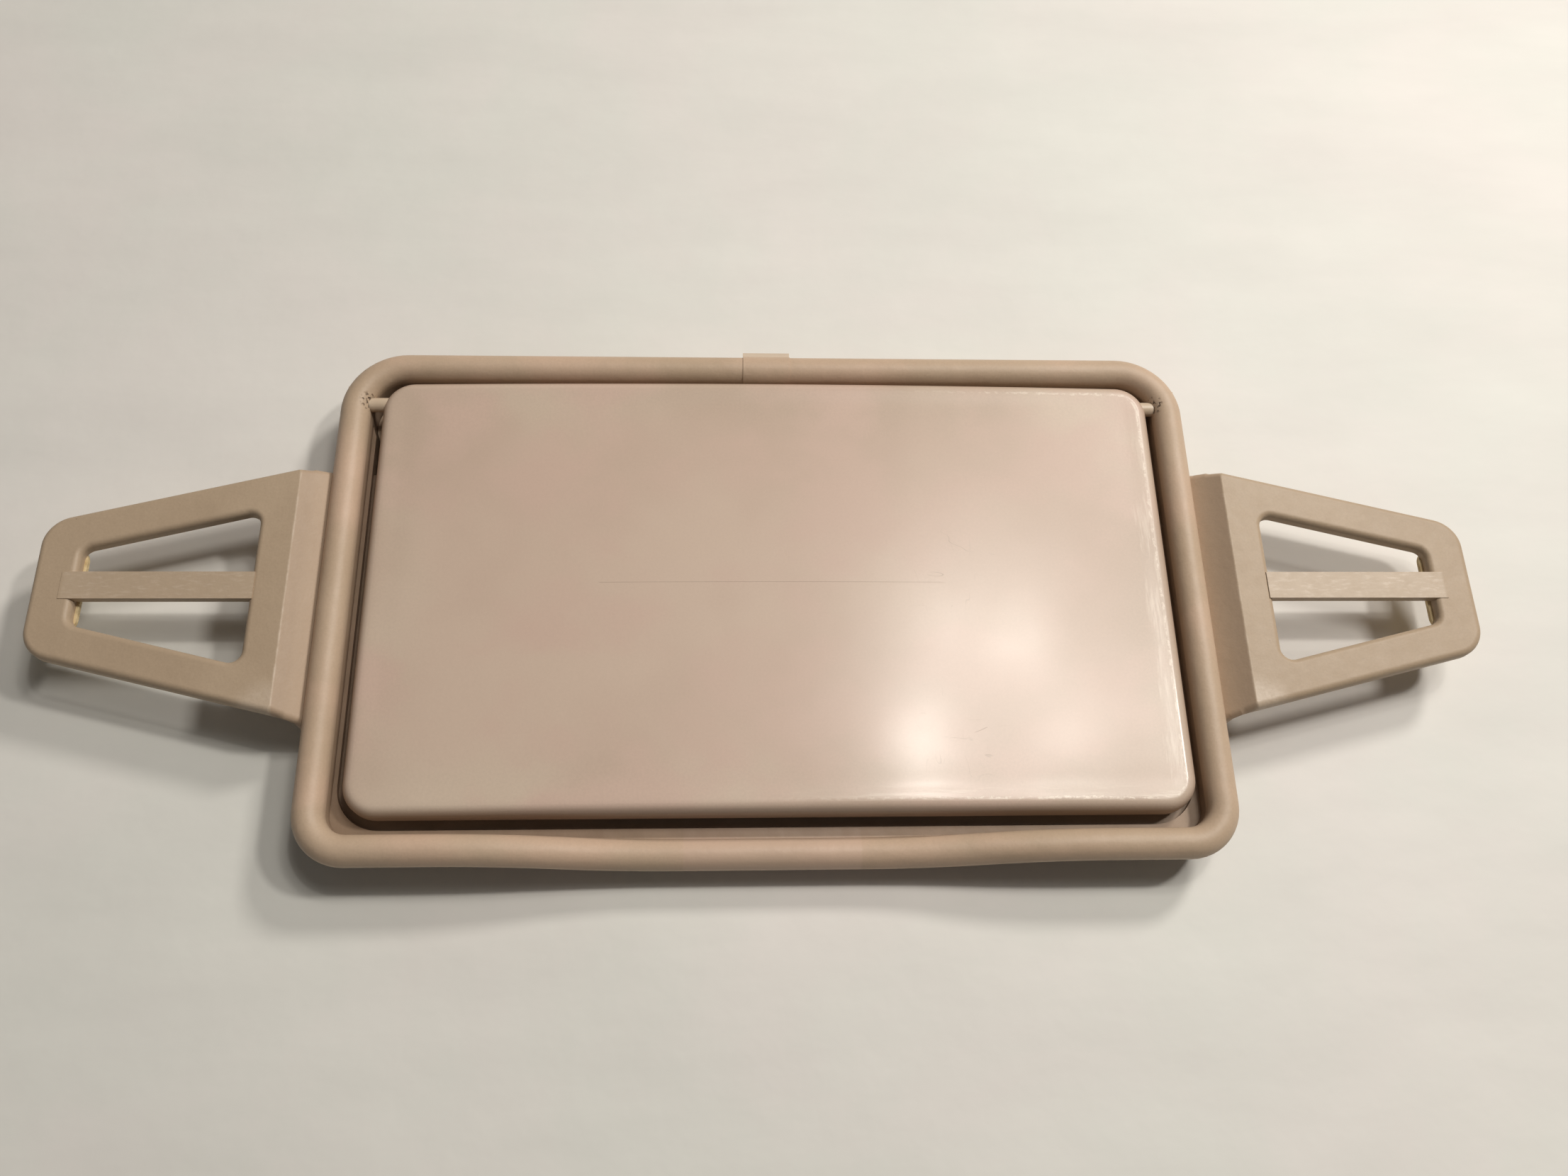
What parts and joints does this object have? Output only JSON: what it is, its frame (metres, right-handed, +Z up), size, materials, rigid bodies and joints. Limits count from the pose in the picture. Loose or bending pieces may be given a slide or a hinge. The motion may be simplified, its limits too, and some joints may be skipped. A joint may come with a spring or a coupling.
{
  "type": "pill counting tray",
  "caption": "Flat rimmed counting tray with a dipped pouring lip, slotted wing handles and a hinged leaf that covers the pan.",
  "frame": {"origin": "middle of the footprint, on the surface that the feet stand on", "axes": "+X to the right handle tip, +Y to the hinge side, -Y to the pouring lip, +Z up"},
  "size_m": [0.4026, 0.1547, 0.0206],
  "materials": {
    "frame": "fine mould grain, aged beige",
    "pan": "fine mould grain, aged beige",
    "handle": "fine mould grain, aged beige",
    "leaf": "worn semi-gloss, scratched",
    "pin": "smooth, polished by turning",
    "clip": "smooth, thin",
    "pad": "yellowed soft sheet",
    "rest": "soft, matte",
    "foot": "soft, matte",
    "screw": "zinc plated"
  },
  "bodies": {
    "tray": {"tray_frame": "frame", "base_pan": "pan", "handle_left": "handle", "handle_right": "handle", "tip_pad_left": "pad", "tip_pad_right": "pad", "rear_clip": "clip", "leaf_rests": "rest", "foot_front_left": "foot", "foot_front_right": "foot", "foot_rear_left": "foot", "foot_rear_right": "foot", "pan_screws": "screw", "handle_screws_left": "screw", "handle_screws_right": "screw"},
    "leaf": {"leaf_panel": "leaf", "leaf_back": "leaf", "leaf_screws": "screw", "hinge_pin_left": "pin", "hinge_pin_right": "pin"}
  },
  "joints": [
    {"name": "leaf_hinge", "type": "hinge", "parent": "tray", "child": "leaf", "pos_m": [0, 0.0597, 0.0147], "axis": [-1, 0, 0], "range_deg": [0, 110]}
  ]
}
